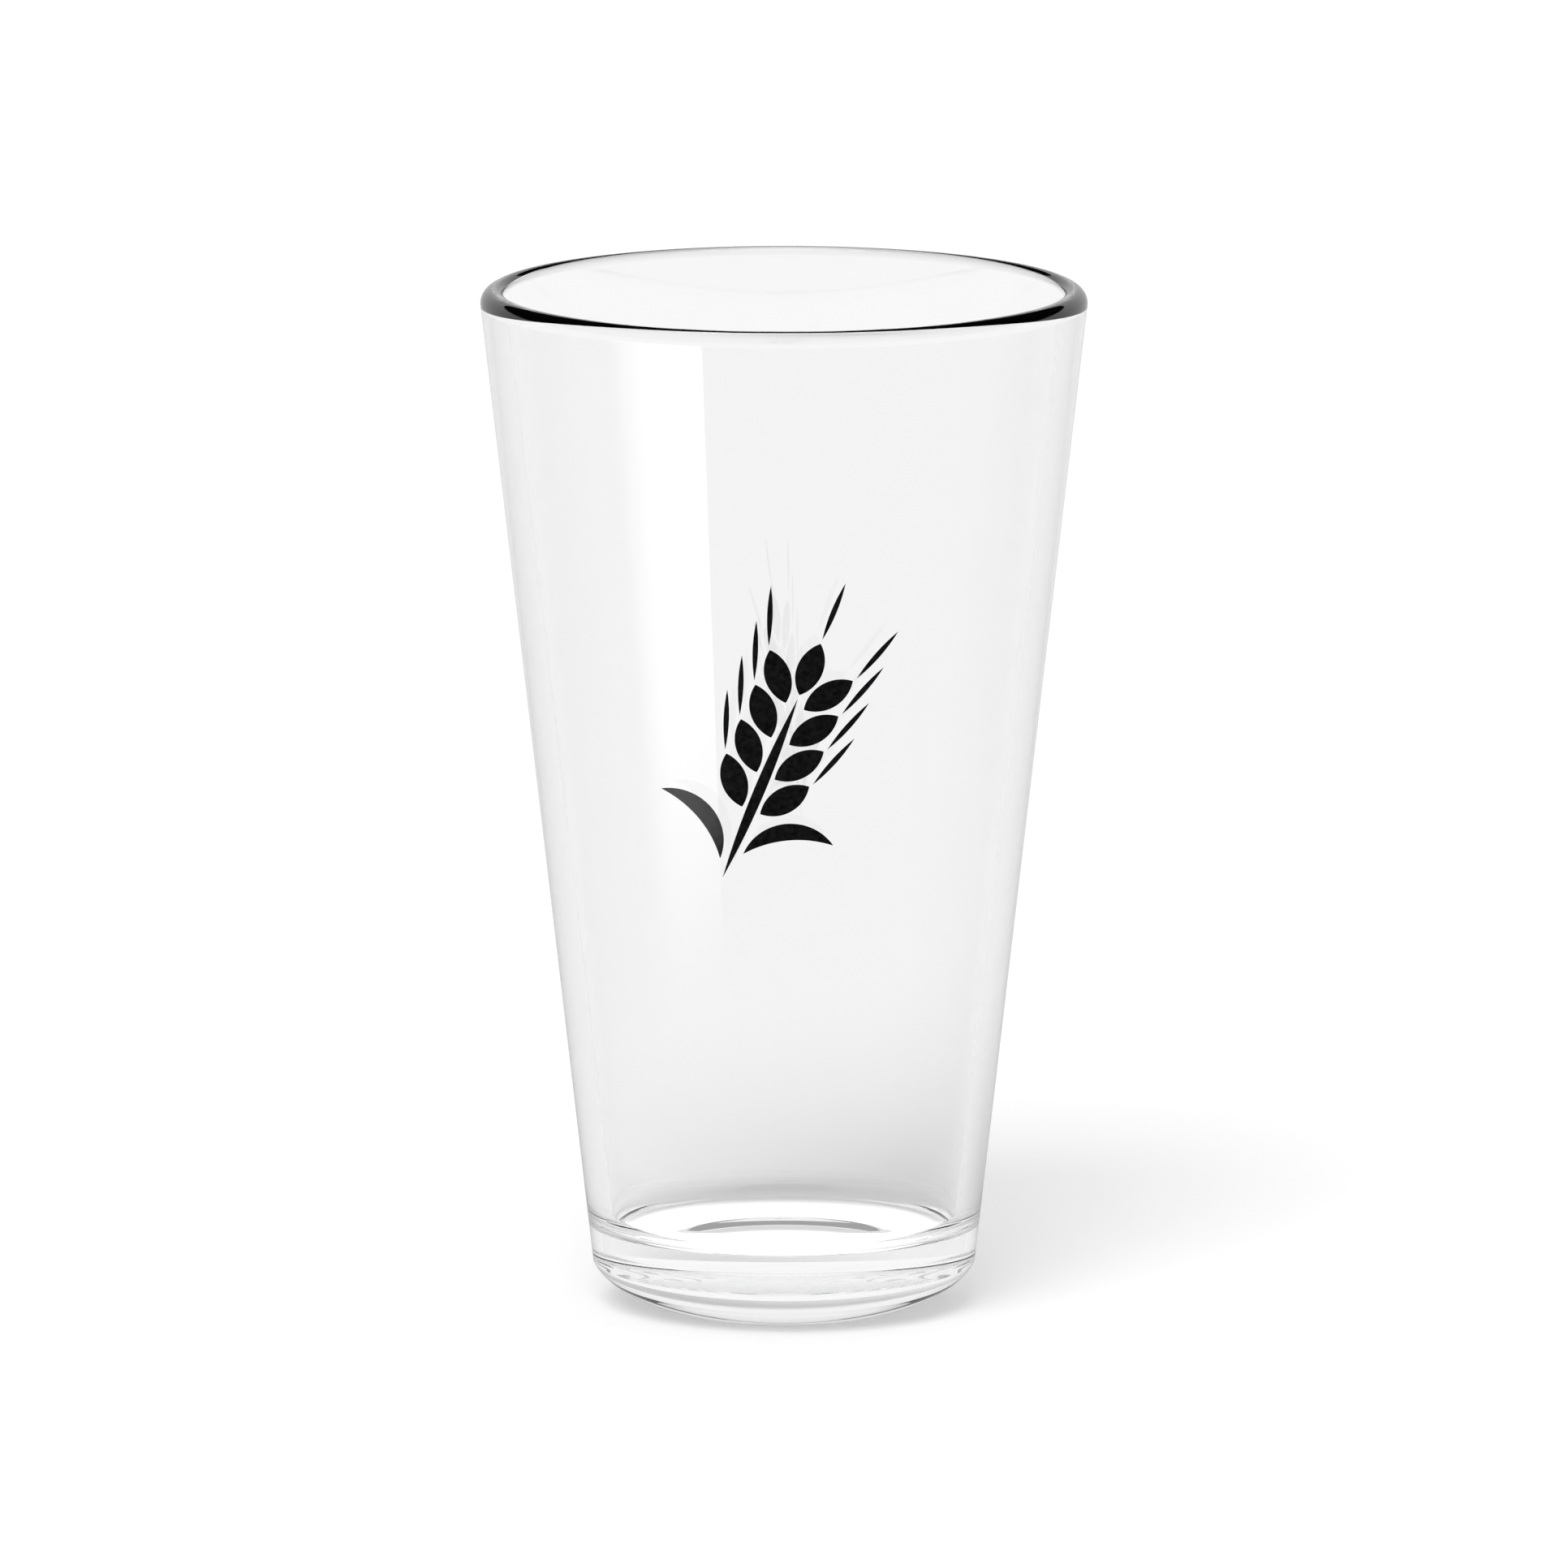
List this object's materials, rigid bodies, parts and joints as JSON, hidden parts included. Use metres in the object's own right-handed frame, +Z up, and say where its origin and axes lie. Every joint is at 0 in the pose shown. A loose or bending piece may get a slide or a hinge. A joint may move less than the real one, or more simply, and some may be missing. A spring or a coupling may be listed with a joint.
{
  "type": "pint glass",
  "caption": "Tapered clear drinking glass with a thick solid base, rounded heel and rim, and a black ear of barley fired onto its front.",
  "frame": {"origin": "centre of the plane that the glass rests on, on its axis of revolution", "axes": "+Z up along the axis of revolution, -Y towards the printed front, +X to the right of the print"},
  "size_m": [0.0884, 0.0884, 0.15],
  "materials": {
    "clear_glass": "polished clear soda-lime glass",
    "black_enamel": "gloss black ceramic ink, fired on"
  },
  "bodies": {
    "root": {"glass_body": "clear_glass", "print_stem": "black_enamel", "print_grains": "black_enamel", "print_awns": "black_enamel", "print_leaves": "black_enamel"}
  },
  "joints": []
}
